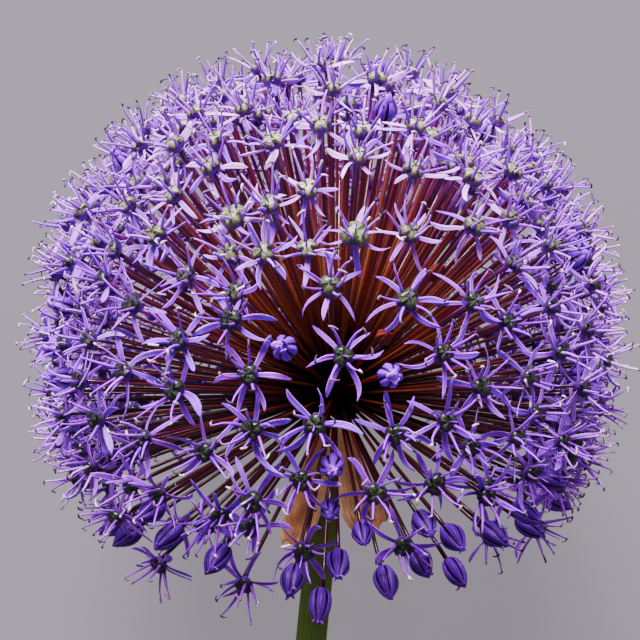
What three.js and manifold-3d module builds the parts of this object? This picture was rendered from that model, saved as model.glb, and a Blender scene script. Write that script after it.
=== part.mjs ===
// The flower head of a large ornamental onion, cut with a length of its stem and lying on a table.
// Three hundred and fifty florets and buds stand on stalks that all leave one swollen stem top, and
// their ovaries lie on a ball that is 162 mm across. Millimetres. The flower is built in its own frame,
// with its origin where the stalks meet, +Z out of the crown and -Y towards the side that faces up once
// it lies down. The last section lays it on the table, which is the plane z = 0.

import * as THREE from "three";
import { mergeVertices } from "three/addons/utils/BufferGeometryUtils.js";
import Module from "manifold-3d";

const wasm = await Module();
wasm.setup();

const rad = THREE.MathUtils.degToRad;
const lerp = THREE.MathUtils.lerp;

// The head
const HEAD_RADIUS = 81; // from the middle of the ball to the ovaries
const HEAD_CENTRE = [-3, 0, 16]; // the ball sits above and a little beside the point where the stalks meet
const LOWEST = -24; // degrees, the lowest stalks below the level of the stem top
const BUDS_BELOW = -10; // degrees, under which most flowers are still in bud
const FLORETS = 350;
const CANDIDATES = 24; // places tried for each floret, of which the emptiest is taken
const UNEVEN = 1.6; // florets stand in by up to this much
const DEPTHS = [0, 2.2, 4.4]; // or by one of these as well, whichever
const TURNS = 8; // and one of so many turns leave its tepals clear of its neighbours
const ROUNDS = 3;
const CLEAR = 0.35;

// The front florets, where their ovaries or buds are seen in a picture of 640 by 640 pixels
const PIXEL = 0.3; // millimetres at the distance of the stem top
const VIEW_DISTANCE = 345;
const VIEW_ELEVATION = 16; // degrees
const PICTURE_MIDDLE = [320, 320];
const STEM_TOP_SEEN = [336, 392];
const OPEN_SEEN = [
  [343, 357], [315, 425], [397, 435], [300, 482], [253, 500], [252, 430], [248, 375], [443, 353], [445, 421],
  [436, 485], [330, 286], [407, 301], [305, 238], [227, 287], [231, 320], [176, 390], [180, 341], [355, 237],
  [187, 276], [127, 487], [203, 452], [145, 438], [122, 370], [228, 208], [306, 179], [358, 155], [414, 168],
  [472, 303], [487, 387], [480, 450], [518, 318], [405, 550], [303, 552], [212, 525],
];
const BUDS_SEEN = [
  [392, 375], [283, 347], [332, 468], [330, 512], [363, 537], [338, 565], [290, 590], [320, 605], [387, 585],
  [217, 560], [165, 540], [425, 525], [455, 540], [495, 535],
];

// A floret: six tepals round an ovary, with filaments that stand up from between
const TEPAL_REACH = 10.6; // from the stalk's line to the tip
const TEPAL_DROOP = 0.8; // the tips lie this far below the waist
const WAIST = 2.2; // radius between two tepals
const CUP_DEPTH = 2.2; // from the waist down to the stalk
const OVARY_HEIGHT = 3.4;
const FILAMENT_REACH = 4.4;
const FILAMENT_HEIGHT = 8;
const STALK_RADIUS = 0.8;
const STALK_ROOT_RADIUS = 0.5;

// A bud: a pointed egg
const BUD_RADIUS = 3;
const BUD_WIDEST = 3.8;
const BUD_LENGTH = 8.8;

// The swollen stem top, of which each tier of the head holds a slice
const CUSHION_RADIUS = 9.5;
const CUSHION_FOOT = -7; // height of the flat underside, where the stem ends
const ROOT_DEPTH = 5.5; // the stalks start this far from the point where they meet
const SPLIT = 20; // degrees above the level of the stem top, where the upper tier begins
const GAP = 0.3; // between pieces that touch
const KEEP_OFF = 1.2; // degrees that a stalk keeps from the split
const ROOT_KEEP_OFF = 8; // and its root

// The stem
const STEM_LENGTH = 170; // from the point where the stalks meet to the cut
const STEM_RADIUS = 4.7;
const STEM_FOOT_RADIUS = 5.1;
const STEM_LEAN = 5.2; // degrees, sideways as seen from the front
const STEM_SIDES = 16;
const STEM_STEPS = 4;

// The two papery bracts that wrapped the young head and now hang down beside the stem
const BRACT_THICKNESS = 0.8;
// turn in degrees round the stem, from +X; ragged is how much of the width is left at the torn tip
const LEFT = { turn: 228, length: 36, width: 12, flare: 10, flatten: 12, blunt: 4, ragged: 0.1 };
const RIGHT = { turn: 332, length: 32, width: 16.5, flare: 13.5, flatten: 18, blunt: 8, ragged: 0.35 };

// On the table
const PRESSED = 84; // height of the ball's middle; the lowest florets are pushed in to lie on the table
const STEM_REST = STEM_LENGTH + HEAD_CENTRE[2];
const TILT =
  Math.asin(PRESSED / Math.hypot(STEM_REST, STEM_FOOT_RADIUS)) - Math.atan2(STEM_FOOT_RADIUS, STEM_REST);
const STEM_TOP_HEIGHT = PRESSED - HEAD_CENTRE[2] * Math.sin(TILT);
const STEM_TOP_PLACE = [3, 26.5]; // where the stem top stands, so that the flower's box is over the origin

const heightOverTable = ([, y, z]) => STEM_TOP_HEIGHT - y * Math.cos(TILT) + z * Math.sin(TILT);

const dot = (a, b) => a[0] * b[0] + a[1] * b[1] + a[2] * b[2];
const minus = (a, b) => [a[0] - b[0], a[1] - b[1], a[2] - b[2]];
const plus = (a, b, share) => [a[0] + b[0] * share, a[1] + b[1] * share, a[2] + b[2] * share];
const distance = (a, b) => Math.hypot(a[0] - b[0], a[1] - b[1], a[2] - b[2]);

// Degrees above the level of the stem top, and degrees round it
const liftOf = ([x, y, z]) => THREE.MathUtils.radToDeg(Math.atan2(z, Math.hypot(x, y)));
const turnOf = ([x, y]) => THREE.MathUtils.radToDeg(Math.atan2(y, x));

function towards(lift, turn) {
  const flat = Math.cos(rad(lift));
  return [flat * Math.cos(rad(turn)), flat * Math.sin(rad(turn)), Math.sin(rad(lift))];
}

// A random draw from 0 to 1 that gives the same numbers each time
function drawFrom(seed) {
  let state = seed;
  return () => {
    state = (state * 16807) % 2147483647;
    return state / 2147483647;
  };
}

// Where the line of sight through a picture point first meets the ball of ovaries
function seenOnBall([px, py]) {
  const e = rad(VIEW_ELEVATION);
  const right = [1, 0, 0];
  const up = [0, Math.sin(e), Math.cos(e)];
  const forward = [0, Math.cos(e), -Math.sin(e)];
  let eye = plus([0, 0, 0], forward, -VIEW_DISTANCE);
  eye = plus(eye, right, (PICTURE_MIDDLE[0] - STEM_TOP_SEEN[0]) * PIXEL);
  eye = plus(eye, up, (STEM_TOP_SEEN[1] - PICTURE_MIDDLE[1]) * PIXEL);
  let sight = plus([0, 0, 0], forward, VIEW_DISTANCE);
  sight = plus(sight, right, (px - PICTURE_MIDDLE[0]) * PIXEL);
  sight = plus(sight, up, (PICTURE_MIDDLE[1] - py) * PIXEL);
  sight = plus([0, 0, 0], sight, 1 / Math.hypot(...sight));
  const toCentre = minus(HEAD_CENTRE, eye);
  const along = dot(toCentre, sight);
  const inside = HEAD_RADIUS ** 2 - (dot(toCentre, toCentre) - along ** 2);
  return plus(eye, sight, along - Math.sqrt(Math.max(inside, 0)));
}

// A place on the ball for two random numbers, all of its surface being equally likely
function placeOnBall(u, v) {
  const z = 2 * u - 1;
  const flat = Math.sqrt(1 - z * z);
  const a = 2 * Math.PI * v;
  return plus(HEAD_CENTRE, [flat * Math.cos(a), flat * Math.sin(a), z], HEAD_RADIUS);
}

// The florets seen in front, then others, each in the emptiest of a few random places
function placeFlorets() {
  const draw = drawFrom(2026);
  const florets = [
    ...OPEN_SEEN.map((seen) => ({ at: seenOnBall(seen), bud: false })),
    ...BUDS_SEEN.map((seen) => ({ at: seenOnBall(seen), bud: true })),
  ];
  while (florets.length < FLORETS) {
    let best = null;
    let room = -1;
    for (let i = 0; i < CANDIDATES; i++) {
      let at = placeOnBall(draw(), draw());
      while (liftOf(at) < LOWEST) at = placeOnBall(draw(), draw());
      const nearest = Math.min(...florets.map((f) => distance(f.at, at)));
      if (nearest > room) {
        best = at;
        room = nearest;
      }
    }
    florets.push({ at: best, bud: draw() < (liftOf(best) < BUDS_BELOW ? 0.6 : 0.05) });
  }
  for (const f of florets) {
    const lift = liftOf(f.at);
    const off = Math.max(Math.abs(lift - SPLIT), KEEP_OFF); // no stalk runs along the split
    const side = lift < SPLIT ? -1 : 1;
    const rootOff = off + ROOT_KEEP_OFF * Math.exp(-off / (2 * ROOT_KEEP_OFF));
    f.upper = side > 0;
    f.root = towards(SPLIT + side * rootOff, turnOf(f.at)).map((v) => v * ROOT_DEPTH);
    f.full = Math.hypot(...f.at) - UNEVEN * draw() ** 2;
    if (f.bud) f.full -= BUD_LENGTH / 2; // a bud is seen by its middle
    f.way = towards(SPLIT + side * off, turnOf(f.at));
    f.firstTurn = 60 * draw();
    f.reach = Array(6).fill(TEPAL_REACH);
    stand(f, 0, 0);
  }
  return florets;
}

// Puts a floret at a depth and a turn, nearer in where it would reach below the table
function stand(f, depth, turn) {
  const sideways = towards(0, turnOf(f.at) + 90);
  const upwards = [
    f.way[1] * sideways[2] - f.way[2] * sideways[1],
    f.way[2] * sideways[0] - f.way[0] * sideways[2],
    f.way[0] * sideways[1] - f.way[1] * sideways[0],
  ];
  const [c, s] = [Math.cos(rad(turn)), Math.sin(rad(turn))];
  f.depth = depth;
  f.turn = turn;
  f.u = plus(sideways.map((v) => v * c), upwards, s);
  f.v = plus(upwards.map((v) => v * c), sideways, -s);
  f.foot = f.way.map((v) => v * (f.full - depth));
  const low = Math.min(...rodsOf(f).map((rod) => heightOverTable(rod.b)));
  const nearing = f.way[1] * Math.cos(TILT) - f.way[2] * Math.sin(TILT);
  if (low < 0) f.foot = plus(f.foot, f.way, low / nearing);
  f.rods = rodsOf(f);
}

const inFlower = (f, [x, y, z]) => plus(plus(plus(f.foot, f.u, x), f.v, y), f.way, z);

// A ring of points round the line of a stalk
const ring = (count, radius, z, first = 0) =>
  Array.from({ length: count }, (_, i) => {
    const a = rad(first + (360 * i) / count);
    return [radius * Math.cos(a), radius * Math.sin(a), z];
  });

// The parts of a floret as tapering rods, by which it is kept clear of the next one
function rodsOf(f) {
  const rods = [];
  const rod = (a, b, ra, rb) => rods.push({ a: inFlower(f, a), b: inFlower(f, b), ra, rb });
  if (f.bud) {
    rod([0, 0, 0], [0, 0, BUD_WIDEST], 1, BUD_RADIUS);
    rod([0, 0, BUD_WIDEST], [0, 0, BUD_LENGTH], BUD_RADIUS, 0.1);
  } else {
    ring(6, 1, 0).forEach(([x, y], k) => {
      const r = f.reach[k];
      rod([WAIST * x, WAIST * y, -0.6], [r * x, r * y, -TEPAL_DROOP], 1.1, 0.1);
    });
    ring(3, 1, 0).forEach(([x, y]) => {
      rod([1.2 * x, 1.2 * y, 1], [FILAMENT_REACH * x, FILAMENT_REACH * y, FILAMENT_HEIGHT], 1, 0.1);
    });
    rod([0, 0, -1.5], [0, 0, OVARY_HEIGHT], 2.1, 0.4);
  }
  rod([0, 0, -CUP_DEPTH], [0, 0, -26], STALK_RADIUS, STALK_RADIUS);
  return rods;
}

// The free space between two rods, less than 0 where they cross
function between(p, q) {
  const d = minus(p.b, p.a);
  const e = minus(q.b, q.a);
  const r = minus(p.a, q.a);
  const dd = dot(d, d);
  const ee = dot(e, e);
  const de = dot(d, e);
  const dr = dot(d, r);
  const er = dot(e, r);
  const flatness = dd * ee - de * de;
  let s = flatness > 1e-9 ? Math.min(Math.max((de * er - dr * ee) / flatness, 0), 1) : 0;
  const t = Math.min(Math.max((de * s + er) / ee, 0), 1);
  s = Math.min(Math.max((de * t - dr) / dd, 0), 1);
  return distance(plus(p.a, d, s), plus(q.a, e, t)) - lerp(p.ra, p.rb, s) - lerp(q.ra, q.rb, t);
}

// Turns each floret and sets it in until its parts pass between those of its neighbours
function settle(florets) {
  for (const f of florets) {
    f.near = florets.filter((g) => g !== f && distance(g.at, f.at) < 2 * TEPAL_REACH + 3);
  }
  const crowding = (f) => {
    let sum = 0;
    for (const g of f.near) {
      const weight = f.upper === g.upper ? 1 : 3;
      for (const p of f.rods) for (const q of g.rods) sum += weight * Math.max(CLEAR - between(p, q), 0);
    }
    return sum + 0.05 * f.depth;
  };
  for (let i = 0; i < ROUNDS; i++) {
    for (const f of florets) {
      let best = Infinity;
      let kept = null;
      for (const depth of DEPTHS) {
        for (let k = 0; k < (f.bud ? 1 : TURNS); k++) {
          const turn = f.firstTurn + (60 * k) / TURNS;
          stand(f, depth, turn);
          const crowd = crowding(f);
          if (crowd < best) {
            best = crowd;
            kept = [depth, turn];
          }
        }
      }
      stand(f, ...kept);
    }
  }
  // what still crosses is shortened, which stands for tepals that have curled back
  for (const f of florets) {
    if (f.bud) continue;
    for (let k = 0; k < 6; k++) {
      const free = () => Math.min(...f.near.flatMap((g) => g.rods.map((q) => between(f.rods[k], q))));
      while (free() < 0.1 && f.reach[k] > TEPAL_REACH * 0.55) {
        f.reach[k] -= 0.6;
        stand(f, f.depth, f.turn);
      }
    }
  }
}

// Points and triangles as they are added
function makeMesh() {
  const points = [];
  const faces = [];
  return {
    points,
    faces,
    add: (list) => list.map((p) => points.push(p) - 1),
    face: (...corners) => faces.push(corners),
  };
}

// A stalk of three sides, from its root up to a neck under the flower; gives back the neck
function stalk(m, f, neckZ) {
  const root = m.add(ring(3, STALK_ROOT_RADIUS, 0).map(([x, y]) => plus(plus(f.root, f.u, x), f.v, y)));
  const neck = m.add(ring(3, STALK_RADIUS, neckZ).map((p) => inFlower(f, p)));
  m.face(root[2], root[1], root[0]);
  for (let i = 0; i < 3; i++) {
    const j = (i + 1) % 3;
    m.face(root[i], root[j], neck[j]);
    m.face(root[i], neck[j], neck[i]);
  }
  return neck;
}

function openFloret(f) {
  const m = makeMesh();
  const put = (list) => m.add(list.map((p) => inFlower(f, p)));
  const neck = stalk(m, f, -CUP_DEPTH);
  const waist = put(ring(6, WAIST, 0, -30)); // waist k and k + 1 are the two sides of tepal k
  const tips = put(ring(6, 1, 0).map(([x, y], k) => [f.reach[k] * x, f.reach[k] * y, -TEPAL_DROOP]));
  const filaments = put(ring(3, FILAMENT_REACH, FILAMENT_HEIGHT));
  const [ovary] = put([[0, 0, OVARY_HEIGHT]]);
  for (let k = 0; k < 6; k++) {
    const a = waist[k];
    const b = waist[(k + 1) % 6];
    const here = Math.floor(k / 2);
    const next = Math.floor((k + 1) / 2) % 3; // an even tepal lies over a corner of the stalk
    m.face(tips[k], b, a);
    m.face(tips[k], a, neck[here]);
    m.face(tips[k], neck[next], b);
    if (here !== next) m.face(tips[k], neck[here], neck[next]);
    if (k % 2) {
      m.face(a, b, ovary);
    } else {
      m.face(a, b, filaments[here]);
      m.face(b, ovary, filaments[here]);
      m.face(ovary, a, filaments[here]);
    }
  }
  return asSolid(m);
}

function bud(f) {
  const m = makeMesh();
  const put = (list) => m.add(list.map((p) => inFlower(f, p)));
  const neck = stalk(m, f, -0.6);
  const widest = put(ring(6, BUD_RADIUS, BUD_WIDEST));
  const [tip] = put([[0, 0, BUD_LENGTH]]);
  for (let k = 0; k < 6; k++) {
    const l = (k + 1) % 6;
    const here = Math.floor(k / 2);
    const next = Math.floor((k + 1) / 2) % 3;
    m.face(widest[k], neck[here], widest[l]);
    if (here !== next) m.face(neck[here], neck[next], widest[l]);
    m.face(widest[k], widest[l], tip);
  }
  return asSolid(m);
}

function asSolid({ points, faces }) {
  return new wasm.Manifold(
    new wasm.Mesh({
      numProp: 3,
      vertProperties: new Float32Array(points.flat()),
      triVerts: new Uint32Array(faces.flat()),
    }),
  );
}

// The three.js geometry of a solid's one body
function geometryOf(solid) {
  const made = solid.getMesh();
  return new THREE.BufferGeometry()
    .setAttribute("position", new THREE.BufferAttribute(new Float32Array(made.vertProperties), 3))
    .setIndex(new THREE.BufferAttribute(new Uint32Array(made.triVerts), 1));
}

// A solid of revolution about +Z from [radius, height] pairs, listed from low to high on the outside
function lathe(profile, sides) {
  const shape = new THREE.LatheGeometry(profile.map(([r, z]) => new THREE.Vector2(r, z)), sides);
  shape.rotateX(Math.PI / 2);
  shape.deleteAttribute("normal");
  shape.deleteAttribute("uv");
  const merged = mergeVertices(shape, 1e-4);
  return new wasm.Manifold(
    new wasm.Mesh({
      numProp: 3,
      vertProperties: merged.attributes.position.array,
      triVerts: new Uint32Array(merged.index.array),
    }),
  );
}

// One tier of the head: its slice of the cushion and the florets that stand on it
function tier(florets, upper) {
  const profile = [[0, CUSHION_FOOT]];
  const lowest = Math.asin(CUSHION_FOOT / CUSHION_RADIUS);
  for (let i = 0; i < 4; i++) {
    const lift = lerp(lowest, Math.PI / 2, i / 4);
    profile.push([CUSHION_RADIUS * Math.cos(lift), CUSHION_RADIUS * Math.sin(lift)]);
  }
  profile.push([0, CUSHION_RADIUS]);
  const far = 40;
  const slope = far * Math.tan(rad(SPLIT));
  const space = upper
    ? [[0, GAP / 2], [far, slope + GAP / 2], [far, far], [0, far]]
    : [[0, -far], [far, -far], [far, slope - GAP / 2], [0, -GAP / 2]];
  const slice = lathe(profile, 8).intersect(lathe(space, 8));
  const own = florets.filter((f) => f.upper === upper);
  return geometryOf(wasm.Manifold.union([slice, ...own.map((f) => (f.bud ? bud(f) : openFloret(f)))]));
}

// The middle of the stem at a distance below the point where the stalks meet
const stemMiddle = (down) => [-Math.tan(rad(STEM_LEAN)) * down, 0, -down];

function stem() {
  const m = makeMesh();
  const top = -CUSHION_FOOT + GAP;
  const rings = [];
  for (let i = 0; i <= STEM_STEPS; i++) {
    const middle = stemMiddle(lerp(top, STEM_LENGTH, i / STEM_STEPS));
    const radius = lerp(STEM_RADIUS, STEM_FOOT_RADIUS, i / STEM_STEPS);
    rings.push(m.add(ring(STEM_SIDES, radius, 0).map((p) => plus(middle, p, 1))));
  }
  const [topMiddle, footMiddle] = m.add([stemMiddle(top), stemMiddle(STEM_LENGTH)]);
  for (let s = 0; s < STEM_SIDES; s++) {
    const t = (s + 1) % STEM_SIDES;
    m.face(topMiddle, rings[0][s], rings[0][t]);
    m.face(footMiddle, rings[STEM_STEPS][t], rings[STEM_STEPS][s]);
    for (let i = 0; i < STEM_STEPS; i++) {
      m.face(rings[i][s], rings[i + 1][s], rings[i + 1][t]);
      m.face(rings[i][s], rings[i + 1][t], rings[i][t]);
    }
  }
  return geometryOf(asSolid(m));
}

// A bract: an egg-shaped sheet that hugs the stem at its foot, flares out, flattens and ends in a torn tip
function bract({ turn, length, width, flare, flatten, blunt, ragged }) {
  const across = 4;
  const along = 8;
  const m = makeMesh();
  const start = -CUSHION_FOOT + 1.2;
  const sheetPoint = (i, j, out) => {
    const share = j / along;
    const half = (width / 2) * (0.5 + 1.1 * share) * Math.sqrt(1 - (1 - ragged) * share ** blunt);
    const curl = STEM_RADIUS + GAP + out + flatten * share ** 2;
    const bend = Math.min(1.1, half / curl) * ((2 * i) / across - 1);
    const stand = flare * share ** 1.5 - flatten * share ** 2;
    const x = curl * Math.cos(bend) + stand;
    const y = curl * Math.sin(bend);
    const [c, s] = [Math.cos(rad(turn)), Math.sin(rad(turn))];
    return plus(stemMiddle(start + length * share), [x * c - y * s, x * s + y * c, 0], 1);
  };
  const [inner, outer] = [0, BRACT_THICKNESS].map((out) =>
    Array.from({ length: along + 1 }, (_, j) =>
      m.add(Array.from({ length: across + 1 }, (_, i) => sheetPoint(i, j, out))),
    ),
  );
  for (let j = 0; j < along; j++) {
    for (let i = 0; i < across; i++) {
      m.face(outer[j][i], outer[j + 1][i], outer[j + 1][i + 1]);
      m.face(outer[j][i], outer[j + 1][i + 1], outer[j][i + 1]);
      m.face(inner[j][i], inner[j + 1][i + 1], inner[j + 1][i]);
      m.face(inner[j][i], inner[j][i + 1], inner[j + 1][i + 1]);
    }
    m.face(inner[j][0], inner[j + 1][0], outer[j + 1][0]);
    m.face(inner[j][0], outer[j + 1][0], outer[j][0]);
    m.face(inner[j][across], outer[j + 1][across], inner[j + 1][across]);
    m.face(inner[j][across], outer[j][across], outer[j + 1][across]);
  }
  for (let i = 0; i < across; i++) {
    m.face(inner[0][i], outer[0][i], outer[0][i + 1]);
    m.face(inner[0][i], outer[0][i + 1], inner[0][i + 1]);
    m.face(inner[along][i], outer[along][i + 1], outer[along][i]);
    m.face(inner[along][i], inner[along][i + 1], outer[along][i + 1]);
  }
  return geometryOf(asSolid(m));
}

// Materials
const floretMaterial = new THREE.MeshStandardMaterial({ color: 0x6a48c8, roughness: 0.55, metalness: 0 });
const stemMaterial = new THREE.MeshStandardMaterial({ color: 0x4f6a1e, roughness: 0.5, metalness: 0 });
const bractMaterial = new THREE.MeshStandardMaterial({ color: 0xb5713a, roughness: 0.7, metalness: 0 });

// The flower in its own frame
const flower = new THREE.Group();
function addPiece(name, geometry, material) {
  const mesh = new THREE.Mesh(geometry, material);
  mesh.name = name;
  flower.add(mesh);
}

const florets = placeFlorets();
settle(florets);
addPiece("umbel_crown", tier(florets, true), floretMaterial);
addPiece("umbel_skirt", tier(florets, false), floretMaterial);
addPiece("scape", stem(), stemMaterial);
addPiece("spathe_bract_left", bract(LEFT), bractMaterial);
addPiece("spathe_bract_right", bract(RIGHT), bractMaterial);

// Laid on the table with its front up, resting on its lowest florets and on the cut end of the stem
flower.rotation.x = TILT - Math.PI / 2;
flower.position.set(STEM_TOP_PLACE[0], STEM_TOP_PLACE[1], STEM_TOP_HEIGHT);

const flowerHead = new THREE.Group();
flowerHead.add(flower);

export default flowerHead;
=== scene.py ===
import bpy
import numpy as np
from math import asin, atan2, cos, degrees, exp, hypot, pi, radians, sin, sqrt, tan
from mathutils import Matrix, Vector
from numpy.linalg import norm


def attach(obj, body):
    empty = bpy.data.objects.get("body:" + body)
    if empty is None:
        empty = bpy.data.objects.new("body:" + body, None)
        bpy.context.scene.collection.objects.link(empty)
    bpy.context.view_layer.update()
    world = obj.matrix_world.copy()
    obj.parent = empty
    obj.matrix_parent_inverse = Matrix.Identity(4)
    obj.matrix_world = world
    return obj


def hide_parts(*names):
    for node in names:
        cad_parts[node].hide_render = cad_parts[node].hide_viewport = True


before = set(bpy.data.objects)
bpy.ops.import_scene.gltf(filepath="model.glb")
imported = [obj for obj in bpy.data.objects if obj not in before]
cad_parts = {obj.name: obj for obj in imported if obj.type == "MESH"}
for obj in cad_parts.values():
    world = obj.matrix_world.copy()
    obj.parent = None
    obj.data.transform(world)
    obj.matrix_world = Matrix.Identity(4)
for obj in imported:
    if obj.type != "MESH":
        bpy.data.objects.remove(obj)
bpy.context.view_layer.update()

# Lengths below are millimetres in the flower's own frame: origin where the stalks meet, z out of the crown,
# -y towards the side that faces up. toPart lays the flower on the table and gives metres.

# lowest, budsBelow, lateAbove and split are lifts in degrees, and split parts the two halves of the head
head = dict(radius=81, centre=(-3, 0, 16), lowest=-24, budsBelow=-10, budShares=(0.6, 0.05), lateAbove=-4,
            florets=350, candidates=24, uneven=1.6, depths=(0, 2.2, 4.4), depthCost=0.05, turns=8, rounds=3,
            clear=0.35, nearby=3, otherHalf=3, split=20, keepOff=1.2, rootKeepOff=8, rootDepth=5.5, seed=2026)
lying = dict(pressed=84, stemLength=170, stemFoot=5.1, place=(3, 26.5))
view = dict(pixel=0.3, distance=345, elevation=16, middle=(320, 320), stemTop=(336, 392), width=640)

# the front florets and buds, where they are seen in a picture of 640 by 640 pixels
openSeen = [(343, 357), (315, 425), (397, 435), (300, 482), (253, 500), (252, 430), (248, 375), (443, 353),
            (445, 421), (436, 485), (330, 286), (407, 301), (305, 238), (227, 287), (231, 320), (176, 390),
            (180, 341), (355, 237), (187, 276), (127, 487), (203, 452), (145, 438), (122, 370), (228, 208),
            (306, 179), (358, 155), (414, 168), (472, 303), (487, 387), (480, 450), (518, 318), (405, 550),
            (303, 552), (212, 525)]
budsSeen = [(392, 375), (283, 347), (332, 468), (330, 512), (363, 537), (338, 565), (290, 590), (320, 605),
            (387, 585), (217, 560), (165, 540), (425, 525), (455, 540), (495, 535)]

# the rods are thicknesses from root to tip
floret = dict(reach=10.6, droop=0.8, waist=2.2, base=0.6, tepalRod=(1.1, 0.1), cup=2.2, ovary=3.4,
              ovaryFoot=1.5, ovaryRod=(2.1, 0.4), filamentReach=4.4, filamentHeight=8, filamentRoot=1.2,
              filamentRod=(1, 0.1), stalk=0.8, stalkLength=26, budRadius=3, budWidest=3.8, budLength=8.8)

rest = lying["stemLength"] + head["centre"][2]
tilt = asin(lying["pressed"] / hypot(rest, lying["stemFoot"])) - atan2(lying["stemFoot"], rest)
stemTopHeight = lying["pressed"] - head["centre"][2] * sin(tilt)
sinTilt, cosTilt = sin(tilt), cos(tilt)


def turnToPart(d):
    d = np.asarray(d, float)
    return np.stack([d[..., 0], d[..., 1] * sinTilt + d[..., 2] * cosTilt,
                     d[..., 2] * sinTilt - d[..., 1] * cosTilt], -1)


def toPart(p):
    return (turnToPart(p) + (*lying["place"], stemTopHeight)) / 1000


def heightOverTable(p):
    return stemTopHeight - p[..., 1] * cosTilt + p[..., 2] * sinTilt


def drawFrom(seed):  # random numbers from 0 to 1, the same each time
    state = [seed]

    def draw():
        state[0] = state[0] * 16807 % 2147483647
        return state[0] / 2147483647
    return draw


def unit(v):
    return v / norm(v)


def liftOf(p):
    return degrees(atan2(p[2], hypot(p[0], p[1])))


def towards(lift, turn):
    flat = cos(radians(lift))
    return np.array([flat * cos(radians(turn)), flat * sin(radians(turn)), sin(radians(lift))])


# the camera's axes in the flower's frame
viewUp = np.array([0, sin(radians(view["elevation"])), cos(radians(view["elevation"]))])
viewForward = np.array([0, cos(radians(view["elevation"])), -sin(radians(view["elevation"]))])
viewRight = np.array([1.0, 0, 0])


def sightTo(spot):  # from the eye to where a spot of the picture is on the plane through the stem's top
    return (viewForward * view["distance"] + viewRight * (spot[0] - view["middle"][0]) * view["pixel"]
            + viewUp * (view["middle"][1] - spot[1]) * view["pixel"])


eye = -sightTo(view["stemTop"])


def seenOnBall(spot, radius=head["radius"]):  # where the line of sight first meets the ball of ovaries
    sight = unit(sightTo(spot))
    toCentre = np.array(head["centre"]) - eye
    along = toCentre @ sight
    inside = radius ** 2 - (toCentre @ toCentre - along ** 2)
    return eye + sight * (along - sqrt(max(inside, 0)))


def placeOnBall(u, v):
    z = 2 * u - 1
    flat = sqrt(1 - z * z)
    a = 2 * pi * v
    return np.array(head["centre"]) + head["radius"] * np.array([flat * cos(a), flat * sin(a), z])


def rodsLocal(f):  # the parts of a floret as tapering rods, by which it is kept clear of the next one
    rods = []
    if f["bud"]:
        rods.append(((0, 0, 0), (0, 0, floret["budWidest"]), 1, floret["budRadius"]))
        rods.append(((0, 0, floret["budWidest"]), (0, 0, floret["budLength"]), floret["budRadius"], 0.1))
    else:
        for k in range(6):
            x, y = cos(radians(60 * k)), sin(radians(60 * k))
            r, w = f["reach"][k], floret["waist"]
            rods.append(((w * x, w * y, -floret["base"]), (r * x, r * y, -floret["droop"]),
                         *floret["tepalRod"]))
        for k in range(3):
            x, y = cos(radians(120 * k)), sin(radians(120 * k))
            r, w, high = floret["filamentReach"], floret["filamentRoot"], floret["filamentHeight"]
            rods.append(((w * x, w * y, 1), (r * x, r * y, high), *floret["filamentRod"]))
        rods.append(((0, 0, -floret["ovaryFoot"]), (0, 0, floret["ovary"]), *floret["ovaryRod"]))
    rods.append(((0, 0, -floret["cup"]), (0, 0, -floret["stalkLength"]), floret["stalk"], floret["stalk"]))
    ends = np.array([[a, b] for a, b, _, _ in rods], float)
    sizes = np.array([[ra, rb] for _, _, ra, rb in rods])
    return ends, sizes


def standings(f, depths, turns):  # a floret at several depths and turns: feet, axes and rods
    n = len(depths)
    c, s = np.cos(np.radians(turns))[:, None], np.sin(np.radians(turns))[:, None]
    u = f["sideways"] * c + f["upwards"] * s
    v = f["upwards"] * c - f["sideways"] * s
    ends, sizes = rodsLocal(f)
    foot = f["way"] * (f["full"] - np.asarray(depths, float))[:, None]

    def rodsFrom(foot):
        return (foot[:, None, None] + ends[None, ..., 0:1] * u[:, None, None]
                + ends[None, ..., 1:2] * v[:, None, None] + ends[None, ..., 2:3] * f["way"])
    low = heightOverTable(rodsFrom(foot)[:, :, 1]).min(axis=1)
    nearing = f["way"][1] * cosTilt - f["way"][2] * sinTilt
    foot = foot + np.where(low < 0, low / nearing if nearing else 0, 0)[:, None] * f["way"]
    return foot, u, v, rodsFrom(foot), np.repeat(sizes[None], n, 0)


# between rods p (n, a, 2, 3) and q (b, 2, 3), less than 0 where they cross
def freeSpace(p, pSize, q, qSize):
    d = (p[:, :, 1] - p[:, :, 0])[:, :, None]
    e = (q[:, 1] - q[:, 0])[None, None]
    r = p[:, :, 0][:, :, None] - q[:, 0][None, None]
    dd, ee, de = (d * d).sum(-1), (e * e).sum(-1), (d * e).sum(-1)
    dr, er = (d * r).sum(-1), (e * r).sum(-1)
    flatness = dd * ee - de * de
    level = flatness > 1e-9
    s = np.where(level, np.clip((de * er - dr * ee) / np.where(level, flatness, 1), 0, 1), 0)
    t = np.clip((de * s + er) / ee, 0, 1)
    s = np.clip((de * t - dr) / dd, 0, 1)
    gap = norm(r + d * s[..., None] - e * t[..., None], axis=-1)
    pr = pSize[:, :, None, 0] * (1 - s) + pSize[:, :, None, 1] * s
    qr = qSize[None, None, :, 0] * (1 - t) + qSize[None, None, :, 1] * t
    return gap - pr - qr


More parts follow.
